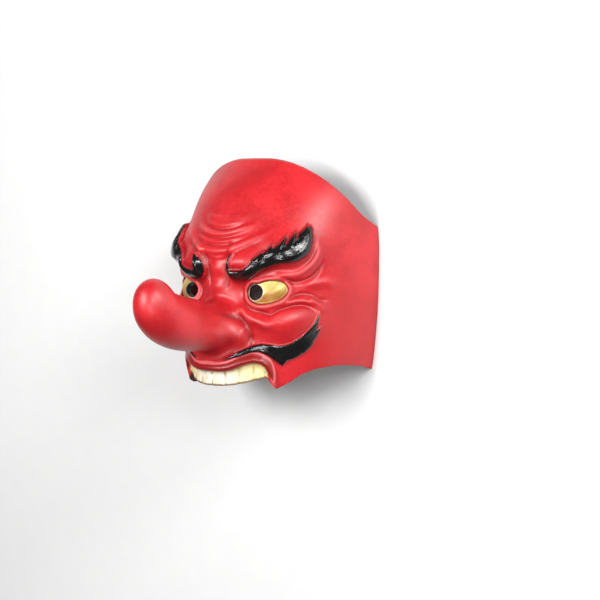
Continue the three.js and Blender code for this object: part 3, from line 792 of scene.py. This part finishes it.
def eye_paint(n, colour, spot, axes, gold):
    """Dark outline, patchy gold that darkens downwards, and a pale ring round the pupil."""
    off_line = n.math("ABSOLUTE", n.math("ADD", n.attribute("eye"), 0.1))
    colour = n.mix(n.ramp(off_line, *EYE_LINE_FADE), colour, EYE_LINE_BROWN)
    pale = n.mix(n.blots(spot, scale=90, start=0.35, end=0.7), EYE_GOLD, EYE_PALE_GOLD)
    colour = n.mix(gold, colour, n.mix(n.ramp(axes["Y"], *EYE_LOW_FADE), EYE_LOW_GOLD, pale))
    pupil_ring = n.math("MULTIPLY", n.ramp(n.attribute("pupil"), *PUPIL_RING_FADE), gold)
    return n.mix(pupil_ring, colour, PUPIL_RING)


def tooth_colour(n, spot, beside, wobble):
    """Ivory in the middle and gold at the sides, with smudges, stains and worn dark gaps, painted shade
    under the lip and dark brown along the lower edge.
    """
    colour = n.mix(n.ramp(beside, *TOOTH_GOLD_FADE), TOOTH_IVORY, TOOTH_GOLD)
    smudge = n.blots(spot, scale=130, start=0.48, end=0.66, high=0.5)
    colour = n.mix(smudge, colour, TOOTH_SMUDGE)
    stain = n.blots(spot, scale=300, start=0.55, end=0.68, high=0.6, detail=4, roughness=0.7)
    colour = n.mix(stain, colour, TOOTH_STAIN)
    worn = n.blots(spot, scale=240, start=0.35, end=0.62, low=0.15, high=0.8)
    gap_line = n.math("MULTIPLY", n.ramp(n.attribute("gaps"), *TOOTH_GAP_FADE), worn)
    colour = n.mix(gap_line, colour, TOOTH_GAP_BROWN)
    # Top of the teeth under the lip: painted shade.
    edge = n.math("ADD", n.attribute("mouth"), n.math("MULTIPLY", wobble, 3.0))
    colour = n.mix(n.ramp(edge, *UNDER_LIP_SHADE_FADE, high=0.8), colour, UNDER_LIP_SHADE_BROWN)
    foot = n.math("ADD", n.attribute("trim"), n.math("MULTIPLY", wobble, 2.0))
    return n.mix(n.ramp(foot, *TOOTH_FOOT_FADE, high=0.9), colour, TOOTH_FOOT_BROWN)


def hair_strands(n):
    """Streaks that run along the brows and the moustache."""
    tuft_place = n.add("CombineXYZ")
    n.join(n.math("MULTIPLY", n.attribute("hair_along"), STRANDS_ALONG), tuft_place.inputs[0])
    n.join(n.math("MULTIPLY", n.attribute("hair_across"), STRANDS_ACROSS), tuft_place.inputs[1])
    return n.noise(tuft_place.outputs[0], scale=1.6, detail=3, roughness=0.6)


def painted_outside():
    """Paint on the outside, in the order of its coats."""
    material, n, shader = new_material("painted_latex")
    rubber = place_latex(n, RED, RED_MOTTLE, RED_ROUGHNESS)
    spot = n.add("TexCoord").outputs["Object"]
    separate = n.add("SeparateXYZ")
    n.join(spot, separate.inputs[0])
    axes = separate.outputs
    beside = n.math("ABSOLUTE", axes["X"])
    wobble = n.math("SUBTRACT", n.noise(spot, BRUSH_SCALE, detail=3), 0.5)
    lip = painted(n, "lip", wobble)
    eye_edge_place = n.math("ADD", n.attribute("eye"), n.math("MULTIPLY", wobble, 0.5))
    eye_gold = n.ramp(eye_edge_place, *EYE_GOLD_FADE)
    teeth = painted(n, "mouth", wobble)
    hair = n.math("MAXIMUM", painted(n, "brow", wobble), painted(n, "moustache", wobble))
    strands = hair_strands(n)

    colour = red_paint(n, rubber["Color"], axes, beside)
    colour = lip_paint(n, colour, lip)
    colour = eye_paint(n, colour, spot, axes, eye_gold)
    colour = n.mix(teeth, colour, tooth_colour(n, spot, beside, wobble))
    colour = n.mix(hair, colour, n.mix(strands, HAIR_BLACK, HAIR_GREY))
    # Eye holes: black painted shade on their edges and walls.
    colour = n.mix(n.ramp(n.attribute("pupil"), *PUPIL_SHADE_FADE), colour, PUPIL_SHADE_BLACK)
    n.join(colour, shader.inputs["Base Color"])

    rough = n.blend(lip, rubber["Roughness"], LIP_ROUGHNESS)
    rough = n.blend(n.math("MAXIMUM", eye_gold, teeth), rough, GOLD_ROUGHNESS)
    rough = n.blend(hair, rough, n.ramp(strands, 0.3, 0.75, *HAIR_ROUGHNESS))
    n.join(rough, shader.inputs["Roughness"])
    n.join(n.math("MULTIPLY", eye_gold, GOLD_METALLIC), shader.inputs["Metallic"])
    shader.inputs["Specular IOR Level"].default_value = PAINT_SPECULAR
    height = n.blend(hair, n.math("MULTIPLY", rubber["Height"], RED_DEPTH),
                     n.math("MULTIPLY", strands, STRAND_DEPTH))
    emboss(n, shader, height, distance=0.8 * MM, strength=0.6)
    return material


def bare_inside():
    """Unpainted rubber as it comes from the mould, its dark red darkened further as painted shade."""
    material, n, shader = new_material("bare_latex")
    rubber = place_latex(n, INSIDE_RED_AND_SHADE, INSIDE_MOTTLE_AND_SHADE, INSIDE_ROUGHNESS)
    n.join(rubber["Color"], shader.inputs["Base Color"])
    n.join(rubber["Roughness"], shader.inputs["Roughness"])
    emboss(n, shader, rubber["Height"], distance=0.5 * MM, strength=0.5)
    return material


mesh.materials.append(painted_outside())
mesh.materials.append(bare_inside())


# The surroundings. The mask lies on a plain pale floor under soft studio lamps, which are square and
# face its middle.
FLOOR_REACH = 6
FLOOR_GREY = rgb(0.80, 0.80, 0.80)
FLOOR_WHITE = rgb(0.84, 0.84, 0.835)
LAMP_AIM = Vector((0, 0, 80 * MM))

bm = bmesh.new()
bmesh.ops.create_grid(bm, x_segments=1, y_segments=1, size=FLOOR_REACH)
floor_mesh = bpy.data.meshes.new("floor")
bm.to_mesh(floor_mesh)
bm.free()
floor = bpy.data.objects.new("floor", floor_mesh)
bpy.context.scene.collection.objects.link(floor)
floor_paper, paper, paper_shader = new_material("floor_paper")
fibre = paper.noise(paper.add("TexCoord").outputs["Object"], scale=60, detail=3)
paper.join(paper.mix(fibre, FLOOR_GREY, FLOOR_WHITE), paper_shader.inputs["Base Color"])
paper_shader.inputs["Roughness"].default_value = 0.9
floor_mesh.materials.append(floor_paper)


def lamp(name, right, up, toward, distance, size, power):
    """Square lamp that faces the mask, placed by the directions of the picture."""
    direction = (right * picture_right + up * picture_up + toward * toward_lens).normalized()
    data = bpy.data.lights.new(name, "AREA")
    data.shape = "SQUARE"
    data.size = size
    data.energy = power
    lamp_object = bpy.data.objects.new(name, data)
    lamp_object.location = LAMP_AIM + direction * distance
    lamp_object.rotation_mode = "QUATERNION"
    lamp_object.rotation_quaternion = direction.to_track_quat("Z", "Y")
    bpy.context.scene.collection.objects.link(lamp_object)


lamp("key_lamp", 0.45, 0.45, 0.77, distance=1.2, size=0.32, power=7.5)
lamp("left_lamp", -0.72, 0.2, 0.65, distance=1.2, size=0.5, power=13.2)
lamp("front_lamp", 0.16, 0.22, 0.96, distance=1.6, size=0.42, power=9.3)
lamp("low_lamp", -0.2, -0.2, 0.96, distance=1.6, size=0.3, power=5.5)
world = bpy.data.worlds.new("studio")
world.use_nodes = True
world.node_tree.nodes["Background"].inputs["Color"].default_value = rgb(1, 1, 1)
world.node_tree.nodes["Background"].inputs["Strength"].default_value = 0.1
bpy.context.scene.world = world
bpy.context.scene.view_settings.view_transform = "Standard"
